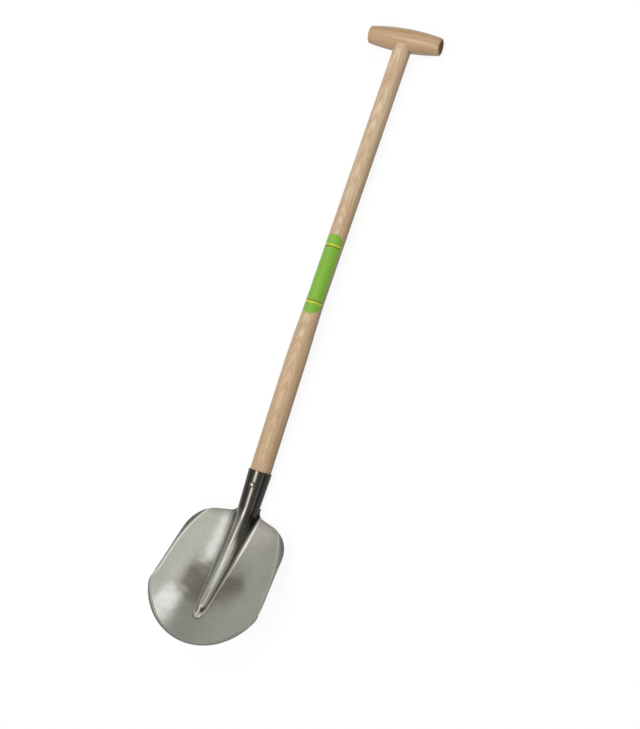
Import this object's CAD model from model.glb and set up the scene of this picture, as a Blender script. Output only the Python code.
"""Finishes a round-nosed shovel in steel, ash and a plain label, and sets it in a white studio."""

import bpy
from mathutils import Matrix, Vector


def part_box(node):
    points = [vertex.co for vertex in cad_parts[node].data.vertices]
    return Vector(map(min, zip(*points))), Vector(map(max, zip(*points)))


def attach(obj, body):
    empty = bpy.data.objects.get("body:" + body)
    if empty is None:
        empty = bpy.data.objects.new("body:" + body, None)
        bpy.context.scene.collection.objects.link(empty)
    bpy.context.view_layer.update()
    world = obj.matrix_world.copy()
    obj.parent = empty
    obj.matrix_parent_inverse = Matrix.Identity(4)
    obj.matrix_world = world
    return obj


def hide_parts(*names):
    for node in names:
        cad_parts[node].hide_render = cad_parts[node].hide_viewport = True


bl_info = {
    "name": "Round-Nosed Shovel",
    "version": (1, 0, 0),
    "blender": (4, 5, 0),
    "location": "View3D > Sidebar > Shovel",
    "description": "Finishes a pressed steel shovel with an ash shaft and sets it in a white studio",
    "category": "Object",
}

from math import acos, asin, atan, atan2, cos, hypot, pi, radians, sin, sqrt, tan
from typing import NamedTuple

import bmesh
import bpy
from bpy.props import FloatProperty, FloatVectorProperty, PointerProperty
from mathutils import Vector

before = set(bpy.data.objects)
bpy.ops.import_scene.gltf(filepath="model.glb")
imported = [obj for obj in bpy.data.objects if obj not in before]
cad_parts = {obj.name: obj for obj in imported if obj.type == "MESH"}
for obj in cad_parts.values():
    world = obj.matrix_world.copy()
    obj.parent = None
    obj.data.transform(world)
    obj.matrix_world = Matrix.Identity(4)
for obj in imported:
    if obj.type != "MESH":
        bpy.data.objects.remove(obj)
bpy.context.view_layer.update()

# The middle of the socket's mouth, and the angle at which the socket lies on the floor, as in the solids.
MOUTH = Vector((0.0, -0.286430, 0.022805))
LIE = radians(2.84343)

# The middle line of the shaft, seen from the side: it climbs from the socket, bends and falls to the grip.
BEND_DISTANCE = 0.200
BEND_RUN = 0.145
BEND_ANGLE = radians(4.15)
BEND_START = MOUTH + BEND_DISTANCE * Vector((0.0, cos(LIE), sin(LIE)))
FOOT_SLOPE = tan(LIE)
HAND_SLOPE = tan(LIE - BEND_ANGLE)

# The pith that the shaft's rings lie round, below its middle line, and the slant at which they are cut.
PITH_DEPTH = 0.09
RING_SLANT = 0.052

# Steps along the blade's edge from the neck to the tip, along the socket, and across a cut of the sheet.
NECK_STEPS, TOP_STEPS, SHOULDER_STEPS, SIDE_STEPS, CORNER_STEPS, NOSE_STEPS = 10, 10, 24, 40, 10, 90
SOCKET_STEPS = 80
CREST_STEPS, FILLET_STEPS, PAN_STEPS, BEND_STEPS, LIP_STEPS = 10, 8, 16, 8, 4

# The angle of the socket's round, from its top, that runs on into the crest of the rib.
SOCKET_CROWN = radians(84)

# The rib never quite sinks away at its nose, so that its arcs can still be worked out.
LEAST_RIB = 0.00001

# Points nearer than this are one, faces thinner than this go, and edges that turn more than this, in
# radians, are sharp.
MERGED = 0.000002
SLIVER = 0.000001
SHARP = 0.6

# Where the camera stands, and how far it is turned about X, Y and Z from looking straight down.
CAMERA_PLACE = Vector((0.70514, -0.28542, 1.93591))
CAMERA_TURNS = radians(12.03577), radians(16.11092), radians(19.13666)

# The softbox hangs high over the shovel, a little to the left of its middle and towards the grip.
LAMP_PLACE = Vector((-0.3, 0.2, 5.8))

WHITE = (1.0, 1.0, 1.0)


class Field:
    """A value that changes over a surface. Arithmetic on it adds the nodes that work it out."""

    def __init__(self, tree, socket):
        self.tree = tree
        self.socket = socket

    def node(self, kind, settings=None, inputs=None, output=0):
        """Any node: its settings are made first, then its sockets are filled by name or number."""
        made = self.tree.nodes.new(kind)
        for name, value in (settings or {}).items():
            setattr(made, name, value)
        for name, value in (inputs or {}).items():
            fill(made.inputs[name], value)
        return Field(self.tree, made.outputs[output])

    def math(self, operation, *values):
        return self.node("ShaderNodeMath", {"operation": operation}, dict(enumerate(values)))

    def __add__(self, other):
        return self.math("ADD", self, other)

    def __radd__(self, other):
        return self.math("ADD", other, self)

    def __sub__(self, other):
        return self.math("SUBTRACT", self, other)

    def __rsub__(self, other):
        return self.math("SUBTRACT", other, self)

    def __mul__(self, other):
        return self.math("MULTIPLY", self, other)

    def __rmul__(self, other):
        return self.math("MULTIPLY", other, self)

    def __truediv__(self, other):
        return self.math("DIVIDE", self, other)

    def __pow__(self, other):
        return self.math("POWER", self, other)

    def __abs__(self):
        return self.math("ABSOLUTE", self)

    def at_least(self, other):
        return self.math("MAXIMUM", self, other)

    def at_most(self, other):
        return self.math("MINIMUM", self, other)

    def rise(self, low, high):
        """0 below low, 1 above high, with an even ease between them."""
        return self.node(
            "ShaderNodeMapRange",
            {"interpolation_type": "SMOOTHSTEP"},
            {"Value": self, "From Min": low, "From Max": high},
        )

    def band(self, low, high, edge):
        """1 between low and high, easing to 0 over an edge on both sides."""
        return self.rise(low - edge, low + edge) * (1 - self.rise(high - edge, high + edge))

    def blend(self, first, second):
        """A colour that goes from the first to the second as this value goes from 0 to 1."""
        first, second = (c if isinstance(c, Field) else (*c, 1.0) for c in (first, second))
        # Sockets 6 and 7 take the two colours, and output 2 gives the mixed one.
        return self.node("ShaderNodeMix", {"data_type": "RGBA"}, {"Factor": self, 6: first, 7: second}, 2)

    def parts(self):
        """The three numbers of a point or a direction."""
        split = self.node("ShaderNodeSeparateXYZ", None, {0: self}).socket.node
        return [Field(self.tree, number) for number in split.outputs]

    def point(self, x, y, z):
        """A point from three numbers."""
        return self.node("ShaderNodeCombineXYZ", None, {"X": x, "Y": y, "Z": z})

    def noise(self, scales, detail=2.0, rough=0.5):
        """Cloudy values around 0.5, with as many clouds to the metre along X, Y and Z as scales says."""
        spot = self.node("ShaderNodeVectorMath", {"operation": "MULTIPLY"}, {0: self, 1: scales})
        return spot.node(
            "ShaderNodeTexNoise", None, {"Vector": spot, "Scale": 1.0, "Detail": detail, "Roughness": rough}
        )

    def bump(self, depth, under=None):
        """A normal that feels this height, in metres, on top of the one under it."""
        inputs = {"Height": self, "Distance": depth}
        if under:
            inputs["Normal"] = under
        return self.node("ShaderNodeBump", None, inputs)


def fill(socket, value):
    """Links a field to a socket, or sets a plain value on it."""
    if isinstance(value, Field):
        value.tree.links.new(value.socket, socket)
    else:
        socket.default_value = value


def feed(shader, **inputs):
    """Fills a shader's sockets, named with underscores for spaces."""
    for name, value in inputs.items():
        fill(shader.inputs[name.replace("_", " ")], value)


def tone(base, share):
    """A colour made darker or lighter than its base."""
    return tuple(share * part for part in base)


def new_material(name):
    """A new material, its shader and the place on the surface, to start its maths from."""
    material = bpy.data.materials.new(name)
    material.use_nodes = True
    tree = material.node_tree
    place = Field(tree, tree.nodes.new("ShaderNodeTexCoord").outputs["Object"])
    return material, tree.nodes["Principled BSDF"], place


def dress(node, material):
    """Gives a solid of the frame its finish."""
    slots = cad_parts[node].data.materials
    slots.clear()
    slots.append(material)


def beside_middle_line(place):
    """Places on the shaft with its bend taken out, so that the grain follows the bend."""
    x, y, z = place.parts()
    run = y - BEND_START.y
    bent = run.at_least(0.0).at_most(BEND_RUN)
    past = (run - BEND_RUN).at_least(0.0)
    turn = FOOT_SLOPE - HAND_SLOPE
    middle = BEND_START.z + FOOT_SLOPE * run - bent * bent * (turn / (2 * BEND_RUN)) - past * turn
    return place.point(x, y, z - middle)


def pan_height(blade, distance):
    """Height of the pan's middle line over the socket's axis, at a distance down from the mouth."""
    run = distance - blade.socket
    turn = (tan(blade.nose_lift) - tan(blade.neck_lift)) / blade.length
    return tan(blade.neck_lift) * run + turn * run * run / 2 - blade.pan_drop


def crest_height(blade, distance):
    """Height of the rib's crest: an elbow from the socket's top line to the rib's nose."""
    share = (distance - blade.socket) / blade.rib_length
    start_slope = (blade.neck_radius - blade.mouth_radius) / blade.socket * blade.rib_length
    end_slope = tan(blade.rib_nose_rise) * blade.rib_length
    end = pan_height(blade, blade.socket + blade.rib_length) + blade.rib_nose_height
    return (
        blade.neck_radius * (2 * share**3 - 3 * share**2 + 1)
        + start_slope * (share**3 - 2 * share**2 + share)
        + end * (3 * share**2 - 2 * share**3)
        + end_slope * (share**3 - share**2)
    )


def rib_size(blade, distance):
    """Height and half width of the rib, which fade together round its nose."""
    run = distance - blade.socket
    share = min(run / blade.rib_length, 1)
    half = blade.rib_neck + (blade.rib_nose - blade.rib_neck) * share
    along = blade.socket + blade.rib_length * share
    height = crest_height(blade, along) - pan_height(blade, along)
    start = blade.rib_length + blade.rib_nose_length - blade.rib_nose_fade
    fade = (1 + cos(pi * min(max((run - start) / blade.rib_nose_fade, 0), 1))) / 2
    return max(height * fade, LEAST_RIB), blade.rib_end + (half - blade.rib_end) * fade


def side_width(blade, distance):
    """Half width of the blade along its straight, flaring side."""
    run = distance - blade.socket - blade.shoulder_drop
    return blade.shoulder_width + run * tan(blade.side_flare)


def lip_line(blade, distance):
    """Distance from the middle at which the sheet turns down into its lip."""
    run = distance - blade.socket
    above = max(1 - run / blade.lip_reach, 0)
    faded = min(max((run - blade.lip_fade_start) / blade.lip_fade, 0), 1)
    spread = blade.lip_out * faded**2 * (3 - 2 * faded)
    return side_width(blade, distance) - blade.lip_width - blade.lip_growth * above**3 + spread


def swing(centre, radius, start, end, steps):
    """Points of an arc round a centre, from one direction to another."""
    return [centre + radius * start.slerp(end, step / steps) for step in range(steps + 1)]


def round_off(before, corner, after, radius, steps):
    """Points of the arc that rounds the corner between two straight lines."""
    back, on = (before - corner).normalized(), (after - corner).normalized()
    half = back.angle(on) / 2
    centre = corner + (back + on).normalized() * radius / sin(half)
    start, end = ((corner + way * radius / tan(half) - centre).normalized() for way in (back, on))
    return swing(centre, radius, start, end, steps)


def between(start, end, steps):
    """Points that divide a straight line, without its two ends."""
    return [start.lerp(end, step / steps) for step in range(1, steps)]


def blade_outline(blade):
    """Half widths and distances down the right edge of the blade, from its neck to the tip of its nose."""
    neck = Vector((blade.neck_edge, blade.socket))
    inner = Vector((blade.neck_edge, blade.socket + blade.top_drop))
    shoulder = Vector((blade.shoulder_width, blade.socket + blade.shoulder_drop))
    nose = Vector((0.0, blade.socket + blade.length - blade.nose_radius))
    side = Vector((side_width(blade, nose.y), nose.y))
    # The corner's arc touches the side from within and the nose's circle from within.
    flare = tan(blade.side_flare)
    inset = side.x - blade.corner_radius / cos(blade.side_flare)
    reach = blade.nose_radius - blade.corner_radius
    spread = 1 + flare**2
    down = (sqrt((inset * flare) ** 2 - spread * (inset**2 - reach**2)) - inset * flare) / spread
    centre = nose + Vector((inset + flare * down, down))
    square = Vector((cos(blade.side_flare), -sin(blade.side_flare)))
    along = (centre - nose).normalized()
    tip = Vector((0, 1))
    neck_arc = round_off(neck, inner, shoulder, blade.neck_fillet, NECK_STEPS)
    shoulder_arc = round_off(inner, shoulder, side, blade.shoulder_radius, SHOULDER_STEPS)
    corner_arc = swing(centre, blade.corner_radius, square, along, CORNER_STEPS)
    nose_arc = swing(nose, blade.nose_radius, along, tip, NOSE_STEPS)[1:]
    top = between(neck_arc[-1], shoulder_arc[0], TOP_STEPS)
    straight = between(shoulder_arc[-1], corner_arc[0], SIDE_STEPS)
    return [neck, *neck_arc, *top, *shoulder_arc, *straight, *corner_arc, *nose_arc]


class Arc(NamedTuple):
    """An arc of a cut, which runs across from start to end. Its bend is 1 for a crown, -1 for a hollow."""

    across: float
    height: float
    radius: float
    bend: int
    start: float
    end: float
    steps: int


def trace(arcs, edge):
    """Places across and heights along arcs that follow each other, out to the edge."""
    points = []
    reached = 0.0
    for arc in arcs:
        start = max(arc.start, reached)
        ends = start, max(start, arc.end)
        first, last = (asin(max(min((min(x, edge) - arc.across) / arc.radius, 1), -1)) for x in ends)
        for step in range(arc.steps + 1):
            angle = first + (last - first) * step / arc.steps
            height = arc.height + arc.bend * arc.radius * cos(angle)
            points.append((arc.across + arc.radius * sin(angle), height))
        reached = points[-1][0]
    return points


def rib_arcs(blade, distance, depth):
    """The round crest of the rib, and the fillet from there to the pan."""
    height, half = rib_size(blade, distance)
    base = pan_height(blade, distance)
    hollow = blade.cross_radius
    foot = asin(half / hollow)

    # The crest keeps the share of its arc that it has at the neck, and the fillet touches it and the pan.
    neck_height, neck_half = rib_size(blade, blade.socket)
    neck_bend = neck_half / sin(2 * atan(neck_height / neck_half))
    crest_radius = blade.neck_radius / neck_bend * half / sin(2 * atan(height / half))
    crest = base + height - crest_radius
    rise = base + hollow * (1 - cos(foot)) - crest
    span = 2 * (crest_radius + half * sin(foot) - rise * cos(foot))
    fillet_radius = (half**2 + rise**2 - crest_radius**2) / span
    fillet = (hollow - fillet_radius) * sin(foot), base + hollow - (hollow - fillet_radius) * cos(foot)
    apart = hypot(fillet[0], fillet[1] - crest)
    steep = atan2(fillet[1] - crest, fillet[0]) + acos(min((crest_radius + fillet_radius) / apart, 1))

    round_radius, dip_radius = crest_radius - depth, fillet_radius + depth
    dip_start, dip_end = fillet[0] - dip_radius * cos(steep), (hollow + depth) * sin(foot)
    return (
        Arc(0.0, crest, round_radius, 1, 0.0, round_radius * cos(steep), CREST_STEPS),
        Arc(*fillet, dip_radius, -1, dip_start, dip_end, FILLET_STEPS),
    )


def pressed_cut(blade, distance, edge, depth):
    """Places across and heights along the right half of a cut through the pan, out to its edge.

    The cut has a round crest, a fillet, the hollow pan, the bend of the lip and the flat of the lip.
    """
    hollow = blade.cross_radius
    centre = pan_height(blade, distance) + hollow
    turn = asin(lip_line(blade, distance) / hollow)
    rib = rib_arcs(blade, distance, depth)
    nose_run = max(distance - blade.socket - blade.length + blade.nose_radius, 0)
    ground = blade.nose_radius - blade.bevel_width
    pan_radius = hollow + depth
    pan_end = pan_radius * sin(turn)
    has_lip = pan_end < edge
    if has_lip:
        reach = hollow + blade.lip_bend
        radius = blade.lip_bend - depth
        across = reach * sin(turn)
        end = across + radius * sin(blade.lip_angle - turn)
        outer = Arc(across, centre - reach * cos(turn), radius, 1, 0.0, end, BEND_STEPS)
    else:
        pan_end = max(sqrt(max(ground**2 - nose_run**2, 0)), rib[-1].end)
        outer = Arc(0.0, centre, pan_radius, -1, 0.0, edge, BEND_STEPS)
    pan = Arc(0.0, centre, pan_radius, -1, 0.0, pan_end, PAN_STEPS)
    points = trace((*rib, pan, outer), edge)

    across, level = points[-1]
    flat = max(edge - across, 0.0) if has_lip else 0.0
    for step in range(1, LIP_STEPS + 1):
        out = flat * step / LIP_STEPS
        points.append((across + out, level + out * tan(turn - blade.lip_angle)))
    if depth == 0 and nose_run > 0:
        slope = blade.bevel_depth / blade.bevel_width
        points = [(x, y - slope * max(hypot(x, nose_run) - ground, 0)) for x, y in points]
    return points


def rolled_cut(blade, distance, depth, count):
    """Places across and heights along the right half of a cut through the socket, from top to seam."""
    taper = (blade.neck_radius - blade.neck_step - blade.mouth_radius) / blade.socket
    heel_radius = blade.mouth_radius + taper * blade.heel
    below = max(distance - blade.heel, 0) / (blade.socket - blade.heel)
    radius = blade.mouth_radius + taper * distance + blade.neck_step * below**2 - depth
    if depth == 0:
        radius -= max(blade.mouth_round - distance, 0)
    hole = blade.rivet_tail**2 - (distance - blade.rivet) ** 2
    gap = max(blade.seam / 2, sqrt(max(hole, 0)))
    end = pi - asin(gap / radius)
    if distance > blade.heel:
        end = min(acos(max(-heel_radius * (1 - below) / radius, -1)), end)
    rest = count - 1 - CREST_STEPS
    angles = [SOCKET_CROWN * step / CREST_STEPS for step in range(CREST_STEPS + 1)]
    angles += [SOCKET_CROWN + (end - SOCKET_CROWN) * step / rest for step in range(1, rest + 1)]
    return [(radius * sin(angle), radius * cos(angle)) for angle in angles]


def join_rows(mesh, near, far):
    """Lays faces between two rows of points that run side by side."""
    for spot in range(len(near) - 1):
        mesh.faces.new((near[spot], near[spot + 1], far[spot + 1], far[spot]))


def blade_mesh(blade):
    """The whole sheet as one closed mesh: front and back in rows of cuts, joined round the edge."""
    edge = blade_outline(blade)
    roll = [step * blade.socket / SOCKET_STEPS for step in range(SOCKET_STEPS)] + [blade.mouth_round]
    along, up = Vector((0, -cos(LIE), -sin(LIE))), Vector((0, -sin(LIE), cos(LIE)))
    mesh = bmesh.new()
    layers = []
    for depth in (0.0, blade.sheet):
        pan = [(down, pressed_cut(blade, down, across, depth)) for across, down in edge]
        count = len(pan[0][1])
        rows = [(down, rolled_cut(blade, down, depth, count)) for down in sorted(roll)] + pan
        layer = []
        for down, half in rows:
            cut = [(-x, y) for x, y in half[:0:-1]] + half
            middle = MOUTH + down * along
            layer.append([mesh.verts.new(middle + Vector((x, 0, 0)) + y * up) for x, y in cut])
        layers.append(layer)
    front, back = layers
    for upper, lower in zip(front, front[1:]):
        join_rows(mesh, upper, lower)
    for upper, lower in zip(back, back[1:]):
        join_rows(mesh, lower, upper)
    join_rows(mesh, [row[-1] for row in front], [row[-1] for row in back])
    join_rows(mesh, [row[0] for row in back], [row[0] for row in front])
    join_rows(mesh, back[0], front[0])
    bmesh.ops.remove_doubles(mesh, verts=mesh.verts, dist=MERGED)
    bmesh.ops.dissolve_degenerate(mesh, edges=mesh.edges, dist=SLIVER)
    bmesh.ops.recalc_face_normals(mesh, faces=mesh.faces)
    for face in mesh.faces:
        face.smooth = True
    for line in mesh.edges:
        line.smooth = line.calc_face_angle(0) < SHARP
    made = bpy.data.meshes.new("pressed blade")
    mesh.to_mesh(made)
    mesh.free()
    return made


def steel_finish(blade, finish):
    """Steel polished on the pan and left dark on the socket, with grime in its folds and rubbed edges."""
    material, shader, place = new_material("polished sheet steel")
    x, y, z = place.parts()
    off = abs(x)
    down = (MOUTH.y - y) * cos(LIE) + (MOUTH.z - z) * sin(LIE)
    run = down - blade.socket
    cloud = place.noise((30, 30, 30), 3.0)
    mottle = place.noise((190, 190, 190), 3.0)
    waves = place.noise((42, 42, 42), 1.0) + 1.6 * place.noise((17, 17, 17), 0.0)
    brushed = place.noise((900, 120, 900), 1.0)
    sheet = (0.5 * cloud + 0.5 * mottle).blend(tone(finish.steel, 0.74), tone(finish.steel, 1.16))
    grime = tone(finish.steel, 0.35)

    # The dark skin of the socket ends below the neck, and further down in the fold on the right of the rib.
    right_fold = x.band(0.012, 0.0225, 0.003)
    skin = 1 - (run - 0.02 * right_fold).rise(0.0, 0.04)

    # Grime stays along the foot of the rib, and on the lip outside its bend.
    half = blade.rib_neck + (blade.rib_nose - blade.rib_neck) / blade.rib_length * run
    rib_foot = (off / half).band(0.62, 0.86, 0.06) * run.band(0.09, 0.185, 0.02)
    sheet = (rib_foot * (0.3 + 0.5 * mottle)).blend(sheet, grime)
    above = (1 - run / blade.lip_reach).at_least(0.0)
    faded = run.rise(blade.lip_fade_start, blade.lip_fade_start + blade.lip_fade)
    flare = tan(blade.side_flare)
    edge = blade.shoulder_width - blade.shoulder_drop * flare + run * flare
    past_bend = off - (edge - blade.lip_width - blade.lip_growth * above**3 + blade.lip_out * faded)
    lip = past_bend.rise(0.0012, 0.0042)
    sheet = (lip * (0.45 + 0.4 * mottle)).blend(sheet, grime)

    # The bend of the lip is scuffed. It is rubbed bright, and so are the rib's crest and right flank.
    scuffed = past_bend.band(-0.0030, 0.0080, 0.0015) * (1 - skin)
    right_half = x.rise(-0.01, 0.01)
    rubbed = past_bend.band(-0.0022, 0.0014, 0.0010) * (0.75 + 0.4 * mottle) * (1 - 0.6 * right_half)
    crest = (1 - abs(x + 0.0008).rise(0.0004, 0.0030)) * run.band(0.05, 0.19, 0.02)
    flank = (x / half).band(0.84, 1.0, 0.06) * run.band(0.005, 0.095, 0.02)
    rubbed = rubbed.at_least((crest + flank) * (0.6 + 0.5 * mottle))
    sheet = rubbed.blend(sheet, finish.rubbed)

    # The ground bevel round the nose is dull.
    tip = run - (blade.length - blade.nose_radius)
    ground = (x * x + tip * tip) ** 0.5 - (blade.nose_radius - blade.bevel_width)
    ground = ground.rise(0.0, 0.0012) * tip.rise(0.0, 0.01) * (0.5 + 0.5 * mottle)
    sheet = ground.blend(sheet, tone(finish.steel, 0.4))

    # The skin wears thin along the top of the socket, but not in the ring of dirt round the rivet.
    from_rivet = down - blade.rivet
    ring = ((x * x + from_rivet * from_rivet) ** 0.5).band(0.0042, 0.0058, 0.0006)
    bared = (1 - off.rise(0.003, 0.017)) * (1 - 0.8 * ring)
    dark = (bared * (0.75 + 0.4 * mottle)).blend(tone(finish.skin, 0.3), finish.skin)
    feed(
        shader,
        Base_Color=skin.blend(sheet, dark),
        Metallic=1.0,
        Roughness=0.065 + 0.05 * cloud + 0.03 * mottle + 0.02 * brushed + 0.08 * skin + 0.22 * scuffed,
        Normal=brushed.bump(0.000012, waves.bump(0.00015)),
    )
    return material


def ash_finish(finish):
    """Pale ash whose grain follows the shaft's bend."""
    material, shader, place = new_material("pale ash")
    spot = beside_middle_line(place)
    x, y, z = spot.parts()
    # Rings round a pith far below, cut at a slant, so that they come out as nested tongues.
    drift = x + 0.016 * (spot.noise((0, 11, 0)) - 0.5)
    depth = ((z + PITH_DEPTH) * (z + PITH_DEPTH) + drift * drift) ** 0.5 - RING_SLANT * y
    depth = depth + 0.0070 * spot.noise((26, 9, 26), 1.0) + 0.0030 * spot.noise((95, 22, 95))
    rings = depth / finish.ring_width
    year = rings.math("FLOOR", rings)
    ring = rings.math("FRACT", rings)
    chance = year.node("ShaderNodeTexWhiteNoise", {"noise_dimensions": "1D"}, {"W": year})
    middle = 1 - abs(drift).rise(0.003, 0.011)
    early = (1 - ring.rise(0.0, 0.25) + ring.rise(0.65, 1.0)) * (0.15 + 0.5 * chance + 0.2 * middle)
    late = ring.band(0.30, 0.60, 0.25) * (0.25 + 0.9 * middle) * (0.55 + 0.6 * chance)
    fibre = spot.noise((700, 14, 700), 3.0)
    streak = spot.noise((230, 13, 230), 3.0, 0.6)
    pores = spot.noise((1300, 70, 1300), 1.0).rise(0.58, 0.70)
    # The wood is paler towards the grip and darker near the socket.
    wood = (0.9 * late + 0.5 * y.rise(-0.1, 0.5)).blend(finish.ash, finish.ash_pale)
    wood = (0.7 * early).blend(wood, finish.ash_line)
    wood = (0.5 - 0.5 * y.rise(-0.26, -0.06)).blend(wood, finish.ash_line)
    wood = (0.65 * streak.rise(0.40, 0.64)).blend(wood, finish.ash_line)
    wood = (0.40 * fibre.rise(0.3, 0.75)).blend(wood, tone(finish.ash_line, 0.7))
    wood = (0.55 * pores * early).blend(wood, tone(finish.ash_line, 0.5))
    feed(
        shader,
        Base_Color=wood,
        Roughness=0.36 + 0.14 * fibre + 0.1 * early,
        Normal=(fibre * 0.4 - pores * early).bump(0.00012),
        Specular_IOR_Level=0.35,
    )
    return material


def grip_finish(name, finish, share):
    """A redder, plainer wood with a thin coat, dark on its end grain. The share makes it darker."""
    material, shader, place = new_material(name)
    x, y, z = place.parts()
    low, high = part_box("cross_grip")
    depth = 0.8 * (y - low[1]) + 0.6 * z + 0.05 * x + 0.006 * place.noise((9, 40, 40))
    rings = depth / (1.2 * finish.ring_width)
    early = rings.math("FRACT", rings).band(0.25, 0.6, 0.25)
    fibre = place.noise((16, 800, 800), 3.0)
    streak = place.noise((9, 170, 170), 3.0, 0.6).rise(0.40, 0.72)
    cloud = place.noise((28, 60, 60)).rise(0.35, 0.65)
    end_grain = 1 - (high[0] - abs(x)).rise(0.0006, 0.0016)
    wood = 0.30 * early + 0.45 * streak + 0.3 * fibre
    wood = wood.blend(tone(finish.grip, share), tone(finish.grip_line, share))
    wood = (0.30 * cloud).blend(wood, tone(finish.grip_cloud, share))
    wood = (0.85 * end_grain).blend(wood, tone(finish.grip_line, 0.5 * share))
    feed(
        shader,
        Base_Color=wood,
        Roughness=0.32 + 0.16 * fibre + 0.4 * end_grain,
        Normal=(fibre + 0.5 * streak).bump(0.0001),
        Specular_IOR_Level=0.2,
        Coat_Weight=0.45 * (1 - end_grain),
        Coat_Roughness=0.22,
    )
    return material


def lay_floor(scene, half):
    """A floor that is white where it is seen, keeps a soft shadow and throws little light back up."""
    mesh = bpy.data.meshes.new("studio floor")
    corners = [(-half, -half, 0), (half, -half, 0), (half, half, 0), (-half, half, 0)]
    mesh.from_pydata(corners, [], [(0, 1, 2, 3)])
    floor = bpy.data.objects.new("studio_floor", mesh)
    scene.collection.objects.link(floor)
    material, shader, place = new_material("white floor")
    tree = material.node_tree
    path = tree.nodes.new("ShaderNodeLightPath")
    rays = [Field(tree, path.outputs[f"Is {ray} Ray"]) for ray in ("Camera", "Glossy", "Transmission")]
    seen = rays[0].at_least(rays[1]).at_least(rays[2])
    unseen_grey, seen_white, glow_share = tone(WHITE, 0.22), tone(WHITE, 0.9), 0.92
    feed(shader, Base_Color=seen.blend(unseen_grey, seen_white), Roughness=0.9, Specular_IOR_Level=0.0)
    surface = Field(tree, shader.outputs[0])
    glow = place.node("ShaderNodeEmission", None, {"Color": (*WHITE, 1.0), "Strength": 1.0})
    lit = place.node("ShaderNodeMixShader", None, {0: glow_share * seen, 1: surface, 2: glow})
    fill(tree.nodes["Material Output"].inputs["Surface"], lit)
    mesh.materials.append(material)


def wall_ahead(side, height):
    """The wall ahead: dark below, grey above, paler on the upper right, with a bright strip near the top."""
    left_grey, right_grey, pale, dark = (
        (0.50, 0.51, 0.46),
        (0.42, 0.425, 0.385),
        (0.75, 0.76, 0.70),
        (0.22, 0.215, 0.20),
    )
    wall = side.rise(-0.9, -0.4).blend(left_grey, right_grey)
    upper_right = side.rise(-0.30, -0.10) * height.rise(0.58, 0.76)
    wall = upper_right.blend(wall, pale)
    wall = height.rise(0.28, 0.55).blend(dark, wall)
    strip = side.band(-0.18, 0.08, 0.05) * height.rise(0.78, 0.88) * (1 - height.rise(0.95, 1.01))
    return strip.blend(wall, tone(WHITE, 1.48))


def ceiling_ahead(side, height):
    """The ceiling: dimmer on the left, with a rosy patch there, a warm light and a white one."""
    dim, pale, rosy, warm = (0.52, 0.53, 0.48), (0.78, 0.79, 0.72), (0.62, 0.55, 0.52), (1.0, 0.96, 0.91)
    ceiling = side.rise(-0.65, -0.38).blend(dim, pale)
    patch = (1 - side.rise(-0.95, -0.75)) * height.band(1.32, 1.60, 0.08)
    ceiling = patch.blend(ceiling, rosy)
    warm_light = side.band(-0.88, -0.4, 0.08) * height.band(1.38, 1.53, 0.07)
    ceiling = warm_light.blend(ceiling, warm)
    white_light = side.band(-0.36, -0.21, 0.07) * (1 - height.rise(1.7, 2.3))
    return white_light.blend(ceiling, tone(WHITE, 1.35))


def walls_beside(x, y, z):
    """The walls beside and behind: dim on the left, with a warm window and a dark corner on the right."""
    dim, low, right_wall = (0.34, 0.31, 0.29), (0.60, 0.60, 0.59), (0.45, 0.42, 0.38)
    window, corner = (1.9, 1.82, 1.7), (0.085, 0.08, 0.07)
    in_window = z.band(0.36, 0.64, 0.12) * y.rise(-0.34, -0.24)
    in_corner = y.rise(-0.13, -0.06)
    right = in_corner.blend(in_window.blend(right_wall, window), corner)
    beside = x.rise(-0.2, 0.3).blend(dim, right)
    off_floor = z.rise(0.03, 0.20).at_least(x.rise(0.0, 0.3))
    return off_floor.blend(low, beside)


def light_walls(scene):
    """Lights the plain walls of the studio, which the steel mirrors.

    Ahead, a place on the wall or the ceiling is told by its side, x / y, and its height, z / y.
    """
    world = bpy.data.worlds.new("studio walls")
    world.use_nodes = True
    tree = world.node_tree
    way = Field(tree, tree.nodes.new("ShaderNodeTexCoord").outputs["Generated"])
    x, y, z = way.parts()
    ahead = y.at_least(0.08)
    side, height = x / ahead, z / ahead

    # A dark beam runs between the wall and the ceiling, and a grey wall closes the room on the right.
    beam_colour, end_colour = (0.23, 0.195, 0.17), (0.42, 0.385, 0.345)
    beam_top = 1.17 + 0.22 * (side + 0.45).at_most(0.0)
    beam_foot = (1.0 + 0.28 * side).at_least(0.87)
    over = (height - beam_top).rise(-0.03, 0.03)
    beam = (height - beam_foot).rise(-0.03, 0.03) * (1 - over)
    wall = over.blend(wall_ahead(side, height), ceiling_ahead(side, height))
    wall = (beam * side.band(-1.06, -0.06, 0.06)).blend(wall, beam_colour)
    wall = (side - 0.3 * height.rise(1.0, 1.2)).rise(0.28, 0.55).blend(wall, end_colour)
    studio = y.rise(0.28, 0.45).blend(walls_beside(x, y, z), wall)

    # A tube of light crosses the ceiling. It is bright at the back and dim ahead.
    bright, dim = (6.5, 6.4, 6.1), (0.95, 0.92, 0.87)
    tube = (x + 0.6 * y + 0.308).band(-0.15, 0.15, 0.10) * z.rise(0.55, 0.75) * (1 - y.rise(0.38, 0.55))
    studio = tube.blend(studio, y.rise(-0.16, 0.12).blend(bright, dim))
    fill(tree.nodes["Background"].inputs["Color"], studio)
    scene.world = world


def metres(name, description, default):
    """A size that a user may change, in metres."""
    return FloatProperty(name=name, description=description, default=default, unit="LENGTH", precision=4)


def degrees(name, description, default):
    """An angle that a user may change, given in degrees."""
    return FloatProperty(name=name, description=description, default=radians(default), unit="ROTATION")


def colour(name, description, default):
    """A colour that a user may change."""
    return FloatVectorProperty(name=name, description=description, default=default, subtype="COLOR")


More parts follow.
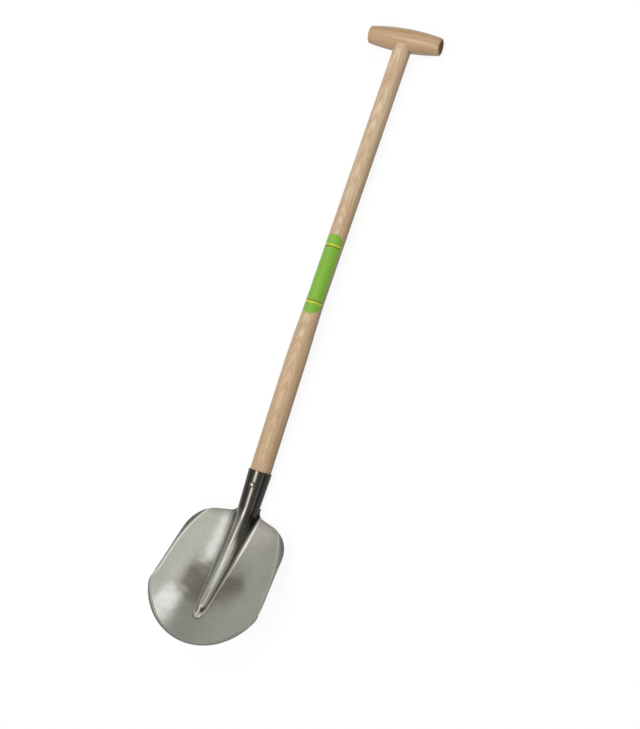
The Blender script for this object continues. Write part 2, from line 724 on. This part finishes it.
class SHOVEL_PG_blade(bpy.types.PropertyGroup):
    """Sizes of the blade's pressed sheet. Distances run down from the socket's mouth."""

    sheet: metres("Sheet", "Thickness of the sheet", 0.0022)
    socket: metres("Socket", "From the mouth to the neck", 0.066)
    mouth_radius: metres("Mouth Radius", "Outside of the socket at its mouth", 0.0223)
    mouth_round: metres("Mouth Edge", "Broken edge of the mouth", 0.0006)
    neck_radius: metres("Neck Radius", "Outside of the rib's crest at the neck", 0.02012)
    neck_step: metres("Neck Step", "Crest above the socket's own cone at the neck", 0.00012)
    heel: metres("Heel", "Where the back of the socket is cut away", 0.036)
    seam: metres("Seam", "Gap at the back of the socket", 0.001)
    rivet: metres("Rivet", "Place of the rivet", 0.0265)
    rivet_tail: metres("Rivet Hole", "Radius of the hole for the rivet's tail", 0.0041)
    length: metres("Blade", "From the neck to the tip", 0.248)
    pan_drop: metres("Pan Drop", "Pan below the socket's axis at the neck", 0.0085)
    neck_lift: degrees("Neck Lift", "Rise of the pan at the neck", 17.0)
    nose_lift: degrees("Nose Lift", "Rise of the pan at the tip", 35.2)
    cross_radius: metres("Hollow", "Radius of the hollow across the pan", 0.290)
    shoulder_width: metres("Shoulder Width", "Half width at the shoulders", 0.0969)
    shoulder_drop: metres("Shoulder Drop", "Shoulders below the neck", 0.0308)
    side_flare: degrees("Side Flare", "Angle at which the sides open", 4.5)
    shoulder_radius: metres("Shoulder Radius", "Rounding of the shoulders", 0.055)
    corner_radius: metres("Corner Radius", "Rounding between side and nose", 0.025)
    nose_radius: metres("Nose Radius", "Radius of the nose in plan", 0.116)
    neck_fillet: metres("Neck Fillet", "Rounding between neck and top edge", 0.015)
    neck_edge: metres("Neck Edge", "Half width of the sheet at the neck", 0.0204)
    top_drop: metres("Top Edge Drop", "Top edge below the neck", 0.0145)
    lip_width: metres("Lip", "Width of the lip along the sides", 0.004)
    lip_angle: degrees("Lip Angle", "Turn of the lip", 40.0)
    lip_bend: metres("Lip Bend", "Radius of the lip's bend", 0.008)
    lip_reach: metres("Lip Reach", "How far down the wide lip of the shoulders runs", 0.140)
    lip_growth: metres("Lip Growth", "How much wider the lip is at the neck", 0.0427)
    lip_fade_start: metres("Lip Fade Start", "Where the lip starts to fade", 0.150)
    lip_fade: metres("Lip Fade", "How long the lip's fade is", 0.030)
    lip_out: metres("Lip Out", "How far the fading lip runs off the edge", 0.010)
    rib_length: metres("Rib", "From the neck to the rib's nose", 0.196)
    rib_neck: metres("Rib at Neck", "Half width of the rib at the neck", 0.0315)
    rib_nose: metres("Rib at Nose", "Half width of the rib at its nose", 0.012)
    rib_nose_height: metres("Rib Height", "Height of the rib at its nose", 0.006)
    rib_nose_rise: degrees("Rib Rise", "Rise of the rib's crest at its nose", 27.5)
    rib_nose_length: metres("Rib Nose", "Length of the rib's rounded nose", 0.013)
    rib_nose_fade: metres("Rib Nose Fade", "Over which the rib sinks into the pan at its nose", 0.026)
    rib_end: metres("Rib End", "Half width where the rib has faded", 0.0105)
    bevel_width: metres("Bevel", "Width of the ground bevel", 0.004)
    bevel_depth: metres("Bevel Depth", "Depth of the ground bevel at the edge", 0.0014)


class SHOVEL_PG_finish(bpy.types.PropertyGroup):
    """Colours and grain of the shovel's finishes."""

    steel: colour("Steel", "Colour of the polished pan", (0.60, 0.60, 0.57))
    rubbed: colour("Rubbed Steel", "Colour of its rubbed edges", (0.96, 0.96, 0.94))
    skin: colour("Steel Skin", "Colour of the socket", (0.135, 0.131, 0.122))
    rivet: colour("Rivet", "Colour of the rivet", (0.66, 0.64, 0.60))
    rivet_grime: colour("Rivet Grime", "Colour of the grime on its rim", (0.16, 0.14, 0.12))
    ash: colour("Ash", "Colour of the shaft's wood", (0.57, 0.425, 0.275))
    ash_pale: colour("Ash Late Wood", "Colour of its pale late wood", (0.68, 0.56, 0.41))
    ash_line: colour("Ash Early Wood", "Colour of its porous early wood", (0.46, 0.305, 0.18))
    grip: colour("Grip", "Colour of the grip's wood", (0.50, 0.36, 0.23))
    grip_line: colour("Grip Rings", "Colour of its rings", (0.34, 0.20, 0.11))
    grip_cloud: colour("Grip Clouds", "Colour of its redder clouds", (0.50, 0.30, 0.17))
    ring_width: metres("Ring Width", "Width of a year's ring", 0.0021)
    label: colour("Label", "Colour of the label's film", (0.185, 0.39, 0.045))
    label_band: colour("Label Bands", "Colour of its broad bands", (0.60, 0.55, 0.06))
    label_line: colour("Label Lines", "Colour of its narrow bands", (0.17, 0.10, 0.02))


class SHOVEL_PG_stage(bpy.types.PropertyGroup):
    """Sizes and levels of the studio."""

    floor_size: metres("Floor", "Width of the floor", 40.0)
    lens: FloatProperty(name="Lens", description="Focal length", unit="CAMERA", default=54.384)
    lamp_power: FloatProperty(name="Lamp", description="Power of the lamp", unit="POWER", default=130.0)
    lamp_width: metres("Lamp Width", "Width of the lamp, across the shovel", 1.9)
    lamp_length: metres("Lamp Length", "Length of the lamp, along the shovel", 4.5)


class SHOVEL_OT_blade(bpy.types.Operator):
    """Presses the blade with its rib and rolled socket, polishes the pan and leaves the socket dark"""

    bl_idname = "shovel.blade"
    bl_label = "Press Blade"

    def execute(self, context):
        scene = context.scene
        material = steel_finish(scene.shovel_blade, scene.shovel_finish)
        piece = bpy.data.objects.new("pressed_blade", blade_mesh(scene.shovel_blade))
        piece.data.materials.append(material)
        scene.collection.objects.link(piece)
        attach(piece, "root")
        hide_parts("blade")
        return {"FINISHED"}


class SHOVEL_OT_rivet(bpy.types.Operator):
    """Finishes the rivet in bright steel"""

    bl_idname = "shovel.rivet"
    bl_label = "Finish Rivet"

    def execute(self, context):
        finish = context.scene.shovel_finish
        material, shader, place = new_material("bright rivet steel")
        x, y, _ = place.parts()
        along = y - (MOUTH.y - context.scene.shovel_blade.rivet * cos(LIE))
        rim = ((x * x + along * along) ** 0.5).rise(0.0022, 0.0042)
        cloud = place.noise((400, 400, 400), 3.0)
        feed(
            shader,
            Base_Color=(0.6 * rim + 0.5 * cloud).blend(finish.rivet, finish.rivet_grime),
            Metallic=1.0,
            Roughness=0.25 + 0.15 * cloud + 0.15 * rim,
            Normal=cloud.bump(0.00008),
        )
        dress("socket_rivet", material)
        return {"FINISHED"}


class SHOVEL_OT_shaft(bpy.types.Operator):
    """Finishes the shaft in pale ash whose grain follows its bend"""

    bl_idname = "shovel.shaft"
    bl_label = "Finish Shaft"

    def execute(self, context):
        dress("shaft", ash_finish(context.scene.shovel_finish))
        return {"FINISHED"}


class SHOVEL_OT_grip(bpy.types.Operator):
    """Finishes the turned grip and its darker wedge in a redder, plainer wood"""

    bl_idname = "shovel.grip"
    bl_label = "Finish Grip"

    def execute(self, context):
        finish = context.scene.shovel_finish
        dress("cross_grip", grip_finish("turned grip wood", finish, 1.0))
        dress("grip_wedge", grip_finish("wedge wood", finish, 0.75))
        return {"FINISHED"}


class SHOVEL_OT_label(bpy.types.Operator):
    """Finishes the film on the shaft as a plain label with two bands at each end"""

    bl_idname = "shovel.label"
    bl_label = "Finish Label"

    def execute(self, context):
        finish = context.scene.shovel_finish
        material, shader, place = new_material("glossy label film")
        _, y, _ = place.parts()
        low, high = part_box("shaft_label")
        from_end = (y - low[1]).at_most(high[1] - y)
        cloud = place.noise((60, 20, 60))
        film = cloud.blend(finish.label, tone(finish.label, 1.12))
        broad, narrow, soft_edge = (0.020, 0.0225), (0.024, 0.0255), 0.0002
        film = from_end.band(*broad, soft_edge).blend(film, finish.label_band)
        film = from_end.band(*narrow, soft_edge).blend(film, finish.label_line)
        feed(shader, Base_Color=film, Roughness=0.14 + 0.1 * cloud, Normal=cloud.bump(0.0001))
        dress("shaft_label", material)
        return {"FINISHED"}


class SHOVEL_OT_stage(bpy.types.Operator):
    """Lays the floor, lights the studio and sets the camera"""

    bl_idname = "shovel.stage"
    bl_label = "Set Stage"

    def execute(self, context):
        scene = context.scene
        stage = scene.shovel_stage
        lay_floor(scene, stage.floor_size / 2)
        light_walls(scene)
        lamp = bpy.data.lights.new("overhead softbox", "AREA")
        lamp.shape = "RECTANGLE"
        lamp.size, lamp.size_y = stage.lamp_width, stage.lamp_length
        lamp.energy = stage.lamp_power
        softbox = bpy.data.objects.new("overhead_softbox", lamp)
        softbox.location = LAMP_PLACE
        softbox.visible_glossy = False
        scene.collection.objects.link(softbox)
        camera = bpy.data.objects.new("camera", bpy.data.cameras.new("camera"))
        camera.data.lens = stage.lens
        camera.location = CAMERA_PLACE
        camera.rotation_euler = CAMERA_TURNS
        scene.collection.objects.link(camera)
        scene.camera = camera
        scene.view_settings.view_transform = "Standard"
        return {"FINISHED"}


class SHOVEL_PT_steps(bpy.types.Panel):
    """Lists the steps that finish the shovel"""

    bl_idname = "SHOVEL_PT_steps"
    bl_label = "Shovel"
    bl_space_type = "VIEW_3D"
    bl_region_type = "UI"
    bl_category = "Shovel"

    def draw(self, context):
        for step in STEPS:
            self.layout.operator(step.bl_idname)


STEPS = (
    SHOVEL_OT_blade,
    SHOVEL_OT_rivet,
    SHOVEL_OT_shaft,
    SHOVEL_OT_grip,
    SHOVEL_OT_label,
    SHOVEL_OT_stage,
)
CLASSES = (SHOVEL_PG_blade, SHOVEL_PG_finish, SHOVEL_PG_stage, *STEPS, SHOVEL_PT_steps)


def register():
    for cls in CLASSES:
        bpy.utils.register_class(cls)
    bpy.types.Scene.shovel_blade = PointerProperty(type=SHOVEL_PG_blade)
    bpy.types.Scene.shovel_finish = PointerProperty(type=SHOVEL_PG_finish)
    bpy.types.Scene.shovel_stage = PointerProperty(type=SHOVEL_PG_stage)


def unregister():
    del bpy.types.Scene.shovel_stage
    del bpy.types.Scene.shovel_finish
    del bpy.types.Scene.shovel_blade
    for cls in reversed(CLASSES):
        bpy.utils.unregister_class(cls)


def main():
    """Runs the steps in order."""
    register()
    bpy.ops.shovel.blade()
    bpy.ops.shovel.rivet()
    bpy.ops.shovel.shaft()
    bpy.ops.shovel.grip()
    bpy.ops.shovel.label()
    bpy.ops.shovel.stage()


if __name__ == "__main__":
    main()
